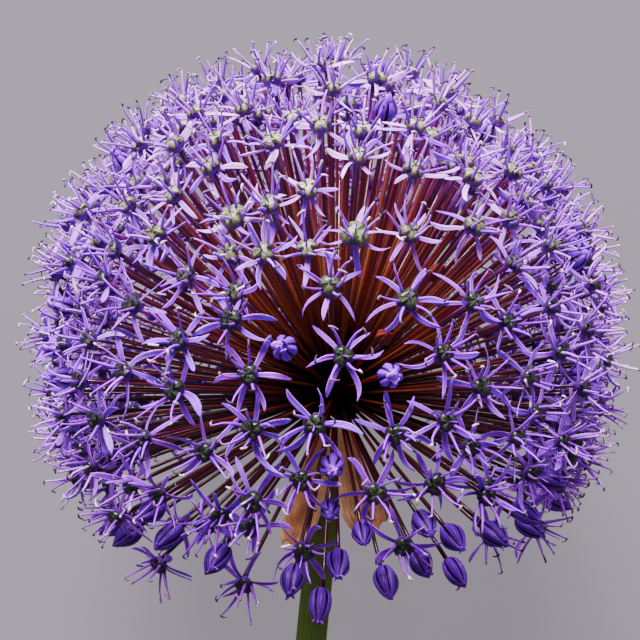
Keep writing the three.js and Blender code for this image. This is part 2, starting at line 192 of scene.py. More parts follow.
def placeFlorets():
    draw = drawFrom(head["seed"])
    florets = [dict(at=seenOnBall(s), bud=False) for s in openSeen]
    florets += [dict(at=seenOnBall(s), bud=True) for s in budsSeen]
    while len(florets) < head["florets"]:
        known = np.array([f["at"] for f in florets])
        best, room = None, -1
        for _ in range(head["candidates"]):
            at = placeOnBall(draw(), draw())
            while liftOf(at) < head["lowest"]:
                at = placeOnBall(draw(), draw())
            nearest = norm(known - at, axis=1).min()
            if nearest > room:
                best, room = at, nearest
        low, high = head["budShares"]
        florets.append(dict(at=best, bud=draw() < (low if liftOf(best) < head["budsBelow"] else high)))
    for i, f in enumerate(florets):
        lift, turn = liftOf(f["at"]), degrees(atan2(f["at"][1], f["at"][0]))
        off = max(abs(lift - head["split"]), head["keepOff"])
        side = -1 if lift < head["split"] else 1
        rootOff = off + head["rootKeepOff"] * exp(-off / (2 * head["rootKeepOff"]))
        f["seen"] = i < len(openSeen) + len(budsSeen)
        f["upper"] = side > 0
        f["root"] = towards(head["split"] + side * rootOff, turn) * head["rootDepth"]
        f["full"] = norm(f["at"]) - head["uneven"] * draw() ** 2
        if f["bud"]:
            f["full"] -= floret["budLength"] / 2  # a bud is seen by its middle
        f["way"] = towards(head["split"] + side * off, turn)
        f["sideways"] = towards(0, turn + 90)
        f["upwards"] = np.cross(f["way"], f["sideways"])
        firstTurn = 60 * draw()
        f["reach"] = [floret["reach"]] * 6
        turns = [firstTurn + 60 * k / head["turns"] for k in range(1 if f["bud"] else head["turns"])]
        f["tries"] = [(depth, t) for depth in head["depths"] for t in turns]
        stand(f, 0, 0)
    return florets


def stand(f, depth, turn):
    foot, u, v, rods, sizes = standings(f, [depth], [turn])
    f.update(depth=depth, turn=turn, foot=foot[0], u=u[0], v=v[0], rods=rods[0], sizes=sizes[0])


def rodsNear(f):
    return np.concatenate([g["rods"] for g in f["near"]]), np.concatenate([g["sizes"] for g in f["near"]])


shorten = dict(clear=0.1, step=0.6, least=0.55)  # tepals that would still touch another floret's


def settle(florets):  # turns each floret and sets it in until its parts pass between its neighbours'
    at = np.array([f["at"] for f in florets])
    for i, f in enumerate(florets):
        near = norm(at - f["at"], axis=1) < 2 * floret["reach"] + head["nearby"]
        f["near"] = [g for j, g in enumerate(florets) if near[j] and j != i]
    for _ in range(head["rounds"]):
        for f in florets:
            depths, turns = np.array(f["tries"]).T
            _, _, _, rods, sizes = standings(f, depths, turns)
            others, otherSizes = rodsNear(f)
            weight = np.concatenate([np.full(len(g["rods"]), 1 if g["upper"] == f["upper"]
                                             else head["otherHalf"]) for g in f["near"]])
            crossing = np.maximum(head["clear"] - freeSpace(rods, sizes, others, otherSizes), 0) * weight
            crowd = crossing.sum(axis=(1, 2)) + head["depthCost"] * depths
            best = int(np.argmin(crowd))
            stand(f, *f["tries"][best])
    for f in florets:
        if f["bud"]:
            continue
        others, otherSizes = rodsNear(f)
        for k in range(6):
            while f["reach"][k] > floret["reach"] * shorten["least"]:
                tepal = f["rods"][None, k:k + 1], f["sizes"][None, k:k + 1]
                if freeSpace(*tepal, others, otherSizes).min() >= shorten["clear"]:
                    break
                f["reach"][k] -= shorten["step"]
                stand(f, f["depth"], f["turn"])


florets = placeFlorets()
settle(florets)
print("florets placed:", len(florets), "of which buds:", sum(f["bud"] for f in florets))

chance = np.random.default_rng(7)


def pick(limits):  # a random value between two, or the only one
    return chance.uniform(*limits) if len(limits) > 1 else limits[0]


def stray(size):  # a random value about 0
    return chance.normal(0, size)


# more florets that opened further in, between the others
# zones: how many, from which lift to which in degrees, and how far round to the front at most
between = dict(zones=[(106, -20, 90, 0.66), (50, 30, 90, 0.66), (40, -20, 3, 0.3)],
               height=(0.84, 0.97), buds=0.1, reach=0.92, tries=30)
floretSize = dict(usual=(0.92, 1.05), budsSeen={3: 0.78, 4: 0.85})
withered = dict(seen=[(437, 272), (384, 337)], radius=58, depth=3, size=0.7)  # small, deep among the stalks


def facing(at):  # 1 in the middle of the camera's view, where the stalks show between fewer florets
    return unit(at - head["centre"]) @ unit(eye - head["centre"])


def floretAt(at, full, bud, turn):
    way = unit(at)
    sideways = towards(0, degrees(atan2(way[1], way[0])) + 90)
    f = dict(at=at, bud=bud, seen=False, upper=liftOf(way) > head["split"], way=way, full=full,
             root=way * head["rootDepth"], sideways=sideways, upwards=np.cross(way, sideways),
             reach=[floret["reach"] * between["reach"]] * 6)
    stand(f, 0, turn)
    return f


def placeBetween():
    known = [f["way"] for f in florets]
    made = []
    for count, lowest, highest, front in between["zones"]:
        for _ in range(count):
            best, room = None, -1
            for _ in range(between["tries"]):
                at = placeOnBall(*chance.random(2))
                while not lowest < liftOf(at) < highest or facing(at) > front:
                    at = placeOnBall(*chance.random(2))
                nearest = 2 - 2 * np.max(np.array(known) @ unit(at))
                if nearest > room:
                    best, room = at, nearest
            full = norm(best) * pick(between["height"])
            f = floretAt(best, full, chance.random() < between["buds"], chance.uniform(0, 60))
            known.append(f["way"])
            made.append(f)
    return made


florets += placeBetween()
# buds above the lower edge are late ones that stay crumpled, and so are the first three seen
for f in florets:
    f["kind"] = "open"
    if f["bud"]:
        f["kind"] = "bud" if liftOf(f["way"]) < head["lateAbove"] else "crumpled"
firstBud = len(openSeen)
for i, f in enumerate(florets[firstBud:firstBud + len(budsSeen)]):
    f["kind"] = "crumpled" if i < 3 else "bud"
for f in florets:
    f["size"] = pick(floretSize["usual"])
for i, size in floretSize["budsSeen"].items():
    florets[firstBud + i]["size"] = size
for spot in withered["seen"]:
    at = seenOnBall(spot, withered["radius"])
    florets.append(floretAt(at, norm(at) - withered["depth"], True, 0))
    florets[-1].update(kind="withered", size=withered["size"])
print("with those between:", len(florets))


# nodes, for geometry and for materials alike

class Value:  # what a node gives; a sum with it makes the next node
    def __init__(self, tree, socket):
        self.tree, self.socket = tree, socket

    def __add__(self, other):
        return calc("ADD", self, other)

    def __sub__(self, other):
        return calc("SUBTRACT", self, other)

    def __rsub__(self, other):
        return calc("SUBTRACT", other, self)

    def __mul__(self, other):
        return calc("MULTIPLY", self, other)

    def __pow__(self, other):
        return calc("POWER", self, other)

    def __abs__(self):
        return calc("ABSOLUTE", self)


def fill(socket, value):
    if isinstance(value, Value):
        value.tree.links.new(value.socket, socket)
    elif value is not None:
        socket.default_value = value


def put(tree, kind, *values, out=0, **settings):  # a node with its inputs in order; gives one output
    node = tree.nodes.new(kind)
    for key, value in settings.items():
        setattr(node, key, value)
    for socket, value in zip([s for s in node.inputs if s.enabled], values):
        fill(socket, value)
    outputs = [s for s in node.outputs if s.enabled]
    return Value(tree, next((s for s in outputs if s.name == out), None) or outputs[out])


def calc(operation, *values, clamp=False):
    tree = next(value.tree for value in values if isinstance(value, Value))
    return put(tree, "ShaderNodeMath", *values, operation=operation, use_clamp=clamp)


def mapRange(value, *limits):
    return put(value.tree, "ShaderNodeMapRange", value, *limits)


def scaled(vector, size):
    return put(vector.tree, "ShaderNodeVectorMath", vector, size, operation="SCALE")


def carried(tree, name, kind="FLOAT"):  # a value that every point or instance carries
    return put(tree, "GeometryNodeInputNamedAttribute", name, data_type=kind)


def keep(shape, **values):  # lets every point of a shape carry these values
    for name, value in values.items():
        shape = put(shape.tree, "GeometryNodeStoreNamedAttribute", shape, None, name, value)
    return shape


def position(tree):
    node = tree.nodes.new("ShaderNodeSeparateXYZ")
    fill(node.inputs[0], put(tree, "GeometryNodeInputPosition"))
    return [Value(tree, socket) for socket in node.outputs]


def moved(shape, x, y, z):  # every point of a shape set to this place
    place = put(shape.tree, "ShaderNodeCombineXYZ", x, y, z)
    return put(shape.tree, "GeometryNodeSetPosition", shape, None, place)


def curve(value, points):  # a float curve through the points
    node = value.tree.nodes.new("ShaderNodeFloatCurve")
    line = node.mapping.curves[0]
    for i, (x, y) in enumerate(points):
        if i < 2:
            line.points[i].location = (x, y)
        else:
            line.points.new(x, y)
    node.mapping.use_clip = False
    node.mapping.update()
    fill(node.inputs["Value"], value)
    return Value(value.tree, node.outputs["Value"])


def startTree(kind, name, inputs, outputs):  # an input without a value is of the kind that it is named for
    tree = bpy.data.node_groups.new(name, kind + "NodeTree")
    kinds = {int: "Int", float: "Float", tuple: "Color"}
    for label, value in inputs.items():
        socket = tree.interface.new_socket(label, in_out="INPUT",
                                           socket_type="NodeSocket" + kinds.get(type(value), label))
        fill(socket, value)
    for label, socketKind in outputs.items():
        tree.interface.new_socket(label, in_out="OUTPUT", socket_type="NodeSocket" + socketKind)
    source = {s.name: Value(tree, s) for s in tree.nodes.new("NodeGroupInput").outputs}
    return tree, source, tree.nodes.new("NodeGroupOutput").inputs


def startGrowth(name, **inputs):
    inputs = dict(Geometry=None, **inputs, Table=0.0002, Material=None)
    return startTree("Geometry", name, inputs, dict(Geometry="Geometry"))


# sets the shape on every point, turned and sized by what the point carries, bends it, and ends the tree
def finishGrowth(tree, size, end, shape):
    up, out, scale, bow, hook, roll = (carried(tree, name, "FLOAT_VECTOR")
                                       for name in ("up", "out", "size", "bow", "hook", "roll"))
    rotation = put(tree, "FunctionNodeAxesToRotation", up, out, primary_axis="Z", secondary_axis="X")
    placed = put(tree, "GeometryNodeInstanceOnPoints", size["Geometry"], None, shape, None, None,
                 rotation, scale)
    real = put(tree, "GeometryNodeRealizeInstances", placed)
    along = carried(tree, "along")
    square = along * along
    bend = scaled(bow, square)
    for part in (scaled(hook, square * square), scaled(roll, along * carried(tree, "edge"))):
        bend = put(tree, "ShaderNodeVectorMath", bend, part, operation="ADD")
    bent = put(tree, "GeometryNodeSetPosition", real, None, None, bend)
    x, y, z = position(tree)
    pressed = moved(bent, x, y, calc("MAXIMUM", z, size["Table"]))
    smooth = put(tree, "GeometryNodeSetShadeSmooth", pressed, None, True)
    fill(end["Geometry"], put(tree, "GeometryNodeSetMaterial", smooth, None, size["Material"]))
    return tree


def bladeTree():  # a strap that narrows to its foot and tip, with a channel along it
    tree, size, end = startGrowth("blade", Sides=6, Steps=9, Width=0.0016, Thickness=0.0003, Channel=0.0004)
    tube = put(tree, "GeometryNodeMeshCylinder", size["Sides"], size["Steps"], 1, 1.0, 1.0)
    x, y, z = position(tree)
    along = z + 0.5
    wide = curve(along, [(0, 0.78), (1, 0.16), (0.15, 0.74), (0.5, 1), (0.76, 0.92), (0.91, 0.64)])
    tube = keep(tube, along=along, across=x, edge=x * wide)  # edge is how far out a point is, for the twist
    height = x * x * (size["Channel"] * wide) + y * (size["Thickness"] * 0.6)
    return finishGrowth(tree, size, end, moved(tube, along, x * (size["Width"] * 0.5 * wide), height))


def threadTree():  # a round thread that tapers
    tree, size, end = startGrowth("thread", Sides=5, Steps=6, Root=0.0004, Tip=0.0002)
    tube = put(tree, "GeometryNodeMeshCylinder", size["Sides"], size["Steps"], 1, 1.0, 1.0)
    x, y, z = position(tree)
    along = z + 0.5
    thick = mapRange(along, 0.0, 1.0, size["Root"], size["Tip"])
    return finishGrowth(tree, size, end, moved(keep(tube, along=along), along, x * thick, y * thick))


def berryTree():  # a ball with lobes round its upright line, hollowed or pointed on top
    tree, size, end = startGrowth("berry", Segments=12, Rings=7, Lobes=3.0, LobeDepth=0.13, PairDepth=0.035,
                                  Dimple=0.35, Squash=0.8, Point=0.0)
    ball = put(tree, "GeometryNodeMeshUVSphere", size["Segments"], size["Rings"], 1.0)
    x, y, z = position(tree)
    angle = calc("ARCTAN2", y, x) * size["Lobes"]
    lobe, pair = calc("COSINE", angle), calc("COSINE", angle * 2.0)
    around = lobe * size["LobeDepth"] + 1.0 - pair * size["PairDepth"]
    inward = 1.0 - calc("SQRT", x * x + y * y)
    above = calc("GREATER_THAN", z, 0.0)
    dimple = inward ** 1.6 * size["Dimple"] * above
    height = (z - dimple) * size["Squash"] + inward ** 2.0 * size["Point"] * above
    ball = keep(ball, along=z * 0.5 + 0.5, across=lobe, pair=pair)
    return finishGrowth(tree, size, end, moved(ball, x * around, y * around, height))


def addMesh(name, points, faces):
    mesh = bpy.data.meshes.new(name)
    mesh.from_pydata([tuple(p) for p in points], [], faces)
    return mesh


def addObject(name, data):
    thing = bpy.data.objects.new(name, data)
    bpy.context.collection.objects.link(thing)
    return thing


def grow(name, tree, spots, material, **sizes):  # the tree's mesh on these spots, as a plain object
    mesh = addMesh(name + "_spots", spots.pop("at"), [])
    for key, values in spots.items():
        values = np.asarray(values, float)
        isVector = values.ndim == 2
        layer = mesh.attributes.new(key, "FLOAT_VECTOR" if isVector else "FLOAT", "POINT")
        layer.data.foreach_set("vector" if isVector else "value", values.ravel())
    piece = addObject(name, mesh)
    modifier = piece.modifiers.new("grow", "NODES")
    modifier.node_group = tree
    sizes["Material"] = material
    for item in tree.interface.items_tree:
        if item.in_out == "INPUT" and item.name in sizes:
            modifier[item.identifier] = sizes[item.name]
    done = bpy.data.meshes.new_from_object(piece.evaluated_get(bpy.context.evaluated_depsgraph_get()))
    piece.modifiers.clear()
    piece.data = done
    done.name = name
    print(name, len(done.polygons), "faces")
    return piece


def claim(piece, slot, *nodes):
    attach(piece, "root")
    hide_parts(*nodes)


# materials

def colors(**values):
    return {name: (*color, 1) for name, color in values.items()}


def ramp(value, *stops):
    node = value.tree.nodes.new("ShaderNodeValToRGB")
    bar = node.color_ramp
    bar.elements[0].position, bar.elements[0].color = stops[0]
    bar.elements[1].position, bar.elements[1].color = stops[-1]
    for place, color in stops[1:-1]:
        bar.elements.new(place).color = color
    fill(node.inputs[0], value)
    return Value(value.tree, node.outputs[0])


def paint(body, *coats):  # coats: how much of which colour goes over what is there
    for share, color in coats:
        body = put(share.tree, "ShaderNodeMix", share, body, color, data_type="RGBA")
    return body


def fading(value, steepness):  # from 1 down to 0
    return calc("SUBTRACT", 1.0, value * steepness, clamp=True)


def mottleGroup():  # uneven colour and a fine raised skin, used by every material
    tree, source, end = startTree("Shader", "mottle", dict(Color=(1, 1, 1, 1), Scale=200.0, Strength=0.3),
                                  dict(Color="Color", Height="Float"))
    place = put(tree, "ShaderNodeTexCoord", out="Object")
    cloud = put(tree, "ShaderNodeTexNoise", place, source["Scale"], 3.0, 0.6)
    fine = put(tree, "ShaderNodeTexNoise", place, source["Scale"] * 5.0, 2.0, 0.5)
    level = (cloud - 0.5) * (source["Strength"] * 2.4) + 1.0 + (fine - 0.5) * source["Strength"]
    fill(end["Color"], scaled(source["Color"], level))
    fill(end["Height"], cloud + fine * 0.5)
    return tree


def veinGroup():  # lines that run along a blade, stem or bract, from its own across value
    tree, source, end = startTree("Shader", "veins", dict(Across=0.0, Count=5.0, Sharpness=3.0, Along=0.0),
                                  dict(Mask="Float"))
    wander = calc("SINE", source["Along"] * 9.0) * 0.12
    wave = calc("COSINE", (source["Across"] * source["Count"] + wander) * pi)
    fill(end["Mask"], (wave * 0.5 + 0.5) ** source["Sharpness"])
    return tree


mottle = mottleGroup()
veins = veinGroup()


def useGroup(tree, group, **values):
    node = tree.nodes.new("ShaderNodeGroup")
    node.node_tree = group
    for key, value in values.items():
        fill(node.inputs[key], value)
    return {s.name: Value(tree, s) for s in node.outputs}


def setShader(material, **values):
    shader = material.node_tree.nodes["Principled BSDF"]
    for key, value in values.items():
        fill(shader.inputs[key.replace("_", " ")], value)


def startMaterial(name, *keys, **values):  # gives the values that the mesh carries as well
    material = bpy.data.materials.new(name)
    material.use_nodes = True
    setShader(material, **values)
    tree = material.node_tree
    return material, *(put(tree, "ShaderNodeAttribute", out="Fac", attribute_name=key) for key in keys)


def finishMaterial(material, body, scale, uneven, depth, relief=None, bump=0.4, **values):  # a mottled skin
    skin = useGroup(material.node_tree, mottle, Color=body, Scale=scale, Strength=uneven)
    raised = material.node_tree.nodes.new("ShaderNodeBump")
    height = skin["Height"] if relief is None else skin["Height"] + relief
    for key, value in dict(Strength=bump, Distance=depth, Height=height).items():
        fill(raised.inputs[key], value)
    normal = Value(material.node_tree, raised.outputs["Normal"])
    setShader(material, Base_Color=skin["Color"], Normal=normal, **values)
    return material


def vein(along, across, count, sharpness):
    return useGroup(along.tree, veins, Across=across, Count=count, Sharpness=sharpness, Along=along)["Mask"]


def tepalMaterial():
    look = colors(foot=(0.1, 0.0001, 0.28), middle=(0.15, 0.0001, 0.58), tip=(0.25, 0.0004, 0.92),
                  rim=(0.78, 0.28, 1), vein=(0.025, 0.0001, 0.14), warm=(0.26, 0.0001, 0.45),
                  pale=(0.9, 0.46, 1))
    material, along, across, tint, pale = startMaterial(
        "violet tepals", "along", "across", "tint", "pale", Roughness=0.36, Specular_IOR_Level=0.2,
        Specular_Tint=(0.75, 0.3, 1, 1), Subsurface_Weight=0.12, Subsurface_Scale=0.002,
        Subsurface_Radius=(0.4, 0.2, 1.0))
    line = vein(along, across, count=3.0, sharpness=5.0)
    # pale paints a highlight that whitens the tepals of the crown and flanks; rim is partly a paler margin
    # and partly a painted highlight along the edges
    body = paint(ramp(along, (0, look["foot"]), (0.35, look["middle"]), (1, look["tip"])),
                 (tint * 0.55, look["warm"]), (pale * (along * 0.6 + 0.4), look["pale"]),
                 (abs(across) ** 5.0 * 0.7, look["rim"]),
                 (line * fading(abs(across), 1.6) * 0.6, look["vein"]))
    return finishMaterial(material, body, scale=260.0, uneven=0.3, depth=0.00012, relief=line)


def filamentMaterial():
    look = colors(root=(0.12, 0.0001, 0.36), tip=(0.36, 0.025, 0.95), warm=(0.26, 0.001, 0.42),
                  pale=(0.88, 0.42, 1))
    material, along, tint, pale = startMaterial(
        "violet filaments", "along", "tint", "pale", Roughness=0.36, Specular_IOR_Level=0.2,
        Specular_Tint=(0.75, 0.3, 1, 1))
    # pale paints a highlight that whitens filaments of the crown and flanks
    body = paint(ramp(along, (0, look["root"]), (1, look["tip"])),
                 (tint * 0.5, look["warm"]), (pale, look["pale"]))
    return finishMaterial(material, body, scale=300.0, uneven=0.25, depth=0.00008)


def antherMaterial():
    look = colors(dark=(0.008, 0.006, 0.02), slate=(0.05, 0.03, 0.08), dusty=(0.3, 0.17, 0.26),
                  pale=(0.75, 0.6, 0.66))
    material, tint = startMaterial("grey anthers", "tint", Roughness=0.65, Specular_IOR_Level=0.35)
    body = ramp(tint, (0, look["dark"]), (0.45, look["slate"]), (0.7, look["dusty"]), (1, look["pale"]))
    return finishMaterial(material, body, scale=900.0, uneven=0.6, depth=0.00015, bump=0.7)


def ovaryMaterial():
    look = colors(groove=(0.0006, 0.001, 0.0006), lobe=(0.004, 0.0075, 0.002), top=(0.009, 0.014, 0.004),
                  foot=(0.13, 0.0005, 0.32), ripe=(0.026, 0.058, 0.007), cream=(0.85, 0.86, 0.46))
    material, along, lobe, pair, ripe, pale = startMaterial(
        "green ovaries", "along", "across", "pair", "ripe", "pale", Roughness=0.4, Specular_IOR_Level=0.2,
        Coat_Weight=0.3, Coat_Roughness=0.06)
    # the grooves between the lobes are painted dark as shade, the top is painted lighter as if lit from
    # above, and on the crown the lobe tops turn cream as a painted highlight; the violet foot is the cup's
    # own colour
    groove = calc("MULTIPLY_ADD", pair, -0.35, lobe * 0.3 + 0.5, clamp=True)
    body = paint(look["groove"], (groove, look["lobe"]), (along ** 3.0 * 0.5, look["top"]),
                 (ripe, look["ripe"]), (along ** 2.0 * groove ** 1.6 * pale, look["cream"]),
                 (mapRange(along, 0.32, 0.56, 1.0, 0.0), look["foot"]))
    return finishMaterial(material, body, scale=700.0, uneven=0.6, depth=0.0006, relief=groove, bump=0.9)


def stalkMaterial():
    look = colors(deep=(0.005, 0.0002, 0.0002), maroon=(0.1, 0.0007, 0.0018), amber=(0.22, 0.048, 0.003),
                  rose=(0.08, 0.0005, 0.016), violet=(0.07, 0.0004, 0.1), dim=(0.004, 0.0002, 0.0006),
                  fresh=(0.3, 0.06, 0.012))
    material, along, tint, fresh, dim = startMaterial(
        "maroon stalks", "along", "tint", "fresh", "dim", Roughness=0.32, Specular_IOR_Level=0.4,
        Specular_Tint=(1, 0.6, 0.66, 1), Coat_Roughness=0.1)
    # the deep colour at the roots is painted shade in the middle of the head
    root, end = (0.16, look["deep"]), (0.98, look["violet"])
    cool = ramp(along, root, (0.4, look["maroon"]), (0.88, look["rose"]), end)
    warm = ramp(along, root, (0.4, look["amber"]), (0.75, look["maroon"]), end)
    stops = [(0.24, 0), (0.4, 1), (0.62, 0.8), (0.85, 0)]
    middle = ramp(along, *((place, (level, level, level, 1)) for place, level in stops))
    # dim is painted shade laid over the whole stalk
    body = paint(cool, (tint, warm), (fresh * middle, look["fresh"]), (dim, look["dim"]))
    return finishMaterial(material, body, scale=160.0, uneven=0.35, depth=0.0002,
                          Coat_Weight=(1.0 - dim) * 0.9)


def budMaterial():
    look = colors(rib=(0.055, 0.0004, 0.22), seam=(0.001, 0.0001, 0.008), tip=(0.3, 0.02, 0.7),
                  foot=(0.08, 0.001, 0.06), pale=(0.22, 0.002, 0.7), dry=(0.13, 0.02, 0.009))
    material, along, rib, pale, dry = startMaterial(
        "indigo buds", "along", "across", "pale", "dry", Roughness=0.4, Specular_IOR_Level=0.25,
        Specular_Tint=(0.75, 0.4, 1, 1))
    ribColor = paint(look["rib"], (pale, look["pale"]))
    edge = mapRange(abs(rib + 0.25), 0.3, 0.0, 0.0, 1.0)
    # the seams between the lobes are painted near black, as shade
    body = paint(look["seam"], (mapRange(rib, -0.75, 0.1, 0.0, 1.0), ribColor), (edge * 0.4, look["tip"]),
                 (fading(along, 5.0), look["foot"]), (dry, look["dry"]))
    return finishMaterial(material, body, scale=300.0, uneven=0.35, depth=0.0003, relief=rib)


def stemMaterial():
    look = colors(light=(0.09, 0.16, 0.012), dark=(0.035, 0.07, 0.005), brown=(0.2, 0.1, 0.02),
                  pith=(0.4, 0.44, 0.2))
    material, along, across, pith = startMaterial("green stem", "along", "across", "pith", Roughness=0.5,
                                                  Specular_IOR_Level=0.25)
    line = vein(along, across, count=22.0, sharpness=1.5)
    body = paint(look["light"], (line, look["dark"]), (fading(along, 3.5) * 0.8, look["brown"]),
                 (pith, look["pith"]))
    return finishMaterial(material, body, scale=90.0, uneven=0.4, depth=0.0004, relief=line)


def bractMaterial():
    look = colors(paper=(1, 0.42, 0.15), vein=(0.6, 0.16, 0.04), pale=(1, 0.6, 0.3),
                  burnt=(0.5, 0.09, 0.02))
    material, along, across = startMaterial("papery bracts", "along", "across", Roughness=0.68,
                                            Specular_IOR_Level=0.3, Sheen_Weight=0.2)
    line = vein(along, across, count=17.0, sharpness=4.0)
    place = put(along.tree, "ShaderNodeTexCoord", out="Object")
    blotch = mapRange(put(along.tree, "ShaderNodeTexNoise", place, 130.0, 2.0, 0.5), 0.5, 0.68, 0.0, 1.0)
    body = paint(look["paper"], (abs(across) ** 2.5, look["pale"]),
                 (blotch * (along * 0.75), look["burnt"]), (line * 0.45, look["vein"]))
    return finishMaterial(material, body, scale=120.0, uneven=0.6, depth=0.0006, relief=line, bump=0.6)


def cushionMaterial():
    # near-black skin: painted shade deep in the middle of the head
    material = startMaterial("dark stem top", Roughness=0.7, Specular_IOR_Level=0.1)[0]
    return finishMaterial(material, (0.006, 0.0012, 0.001, 1), scale=250.0, uneven=0.6, depth=0.0006)


violet, threads, grey, green = tepalMaterial(), filamentMaterial(), antherMaterial(), ovaryMaterial()
maroon, indigo = stalkMaterial(), budMaterial()
print("materials made")


# florets: spots that carry what each tepal, filament, anther, ovary, stalk and bud needs

class Spots:  # a growing list of spots, in the flower's frame until they are laid on the table
    def __init__(self):
        self.rows = []

    def add(self, at, out, up, size, bow=(0, 0, 0), hook=(0, 0, 0), roll=(0, 0, 0), **values):
        bends = dict(bow=bow, hook=hook, roll=roll)
        self.rows.append(dict(at=toPart(at), out=turnToPart(unit(out)), up=turnToPart(unit(up)),
                              size=np.array(size, float) * (0.001, 1, 1),
                              **{key: turnToPart(np.array(bend) / 1000.0) for key, bend in bends.items()},
                              **values))

    def columns(self):
        return {key: np.array([row[key] for row in self.rows]) for key in self.rows[0]}


def crownShare(f, start, width):  # 0 below this lift in degrees, 1 at the top
    return np.clip((liftOf(f["way"]) - start) / width, 0, 1)


flank = dict(start=45, width=25)


def flankHighlightShare(f):  # 0 this far from the middle, 1 on the outermost left and right; sets where highlights are painted on the flanks
    return np.clip((abs(f["at"][0]) - flank["start"]) / flank["width"], 0, 1)


def spoke(f, a):  # the way out from a floret's middle at this angle, and the way round it
    return f["u"] * cos(a) + f["v"] * sin(a), f["v"] * cos(a) - f["u"] * sin(a)


def raised(f, radial, lift):  # a spoke lifted out of the floret's plane, and the way up from it
    return (radial * cos(lift) + f["way"] * sin(lift),
            f["way"] * cos(lift) - radial * sin(lift))


stalk = dict(bow=0.008, width=(0.85, 1.12), thinned=((-8, 4, 26, 42), (1.05, 0.78, 0.78, 1.05)),
             litAmberFrom=30, paintedShadeBelow=24, paintedShadeOver=40, paintedShadeOwn=0.85, paintedShadeMost=0.9, fresh=0.8)


def addStalk(f, stalks):
    neck = f["foot"] - f["way"] * (0.3 if f["kind"] == "open" else 0.4)
    line = neck - f["root"]
    side = unit(np.cross(line, f["u"]))
    bow = side * stray(stalk["bow"]) + f["u"] * stray(stalk["bow"])
    bow = bow * norm(line)
    lift = liftOf(f["way"])
    thick = pick(stalk["width"]) * np.interp(lift, *stalk["thinned"])
    # amber grows towards the crown as painted light on the upper stalks; beyond that, how amber a stalk is
    # stays random
    amber = chance.random() ** 1.8 * np.clip(lift / stalk["litAmberFrom"], 0.1, 1)
    # dim is painted shade: darker towards the lower edge of the head, and some stalks near black at random,
    # standing in for the shade among them
    dim = (stalk["paintedShadeBelow"] - lift) / stalk["paintedShadeOver"] + chance.random() ** 1.6 * stalk["paintedShadeOwn"]
    stalks.add(f["root"], line - bow, side, (norm(line - bow), thick, thick), bow, tint=amber,
               dim=np.clip(dim, 0, stalk["paintedShadeMost"]), fresh=chance.random() ** 4 * stalk["fresh"])


# lift and turn are degrees; high and paintedHighlightFrom say at which lift a change begins, and over how many degrees
tepal = dict(lift=(-8, 22), ownLift=12, turn=5, fall=(0.05, 0.68), curl=0.15, tipHook=(-0.14, 0.4),
             sway=0.2, width=(0.72, 1.14), roll=0.8, rollMost=1.3, length=(0.84, 1.03), start=0.6,
             high=(18, 30), shorterHigh=0.14, narrowerHigh=0.12, paintedHighlightFrom=(33, 24), paintedHighlightCrown=(-0.3, 1.15),
             paintedHighlightFlank=(-0.8, 0.75))


def addTepals(f, spots):
    base, fall, tint = pick(tepal["lift"]), pick(tepal["fall"]), chance.random()
    high = crownShare(f, *tepal["high"])
    for k in range(6):
        radial, around = spoke(f, radians(60 * k + stray(tepal["turn"])))
        length = f["reach"][k] * pick(tepal["length"]) * (1 - tepal["shorterHigh"] * high)
        length = length - tepal["start"]
        lift = radians(base + stray(tepal["ownLift"]))
        width = pick(tepal["width"]) * (1 - tepal["narrowerHigh"] * high)
        out, up = raised(f, radial, lift)
        bow = up * (stray(tepal["curl"]) - fall) + around * stray(tepal["sway"])
        hook = up * (pick(tepal["tipHook"]) + fall * 0.3)
        hook = hook - around * stray(tepal["sway"])
        start = f["foot"] + radial * tepal["start"] - f["way"] * (0.5 if k % 2 else 0.8)
        # pale is a painted highlight: tepals whiten towards the top of the crown and on the outermost left
        # and right flanks, where light falls
        pale = max(pick(tepal["paintedHighlightCrown"]) * crownShare(f, *tepal["paintedHighlightFrom"]),
                   pick(tepal["paintedHighlightFlank"]) * flankHighlightShare(f))
        roll = np.clip(stray(tepal["roll"]), -tepal["rollMost"], tepal["rollMost"])
        spots.add(start, out, up, (length, width, width), bow * length, hook * length, up * roll * width,
                  tint=np.clip(tint + stray(0.2), 0, 1), pale=np.clip(pale, 0, 1))


# a bud, or an old floret that closed again and crumpled, with the free ends of its tepals
bud = dict(half=floret["budLength"] / 2, radius=[2.95], pale=(0, 0.2), dry=0, tips=4, turn=18, lift=(35, 75),
           length=(1.6, 2.6), width=[0.6], thick=0.9, off=0.25, sunk=1.5, bow=(-0.5, 0.2), bowUp=0.2)
crumpled = dict(bud, half=3.1, radius=(2.6, 3), pale=(0.4, 0.8), tips=6, lift=(70, 110), length=(2, 3),
                width=(1.1, 1.6), off=1.6, bow=(-1.1, -0.3))
closed = dict(bud=bud, crumpled=crumpled, withered=dict(bud, dry=1, tips=0))


def addBud(f, buds, tips):
    own, size = closed[f["kind"]], f["size"]
    half, radius = own["half"] * size, pick(own["radius"]) * size
    middle = f["foot"] + f["way"] * half * 0.86
    buds.add(middle, f["u"], f["way"], (radius, radius / 1000, half * 0.98 / 1000),
             pale=pick(own["pale"]), dry=own["dry"])
    for k in range(own["tips"]):
        radial, _ = spoke(f, radians(360 / own["tips"] * k + stray(own["turn"])))
        out, up = raised(f, radial, radians(pick(own["lift"])))
        length, wide = pick(own["length"]) * size, pick(own["width"])
        start = f["foot"] + f["way"] * (half * 2 - own["sunk"]) + radial * own["off"]
        bow = radial * pick(own["bow"]) + up * stray(own["bowUp"])
        tint = chance.uniform(0.3, 1)
        tips.add(start, out, up, (length, wide, own["thick"]), bow * length, tint=tint, pale=0)


stamen = dict(turn=12, ownTurn=6, angle=(14, 48), length=(7.8, 9.6), root=1.2, bow=(-0.12, 0.16),
              bowAround=0.07, hook=(-0.12, 0.1), hookAround=0.08, paintedHighlightFrom=(28, 24), pale=0.95, anther=2,
              antherSize=(0.85, 1.2), antherBow=0.7)


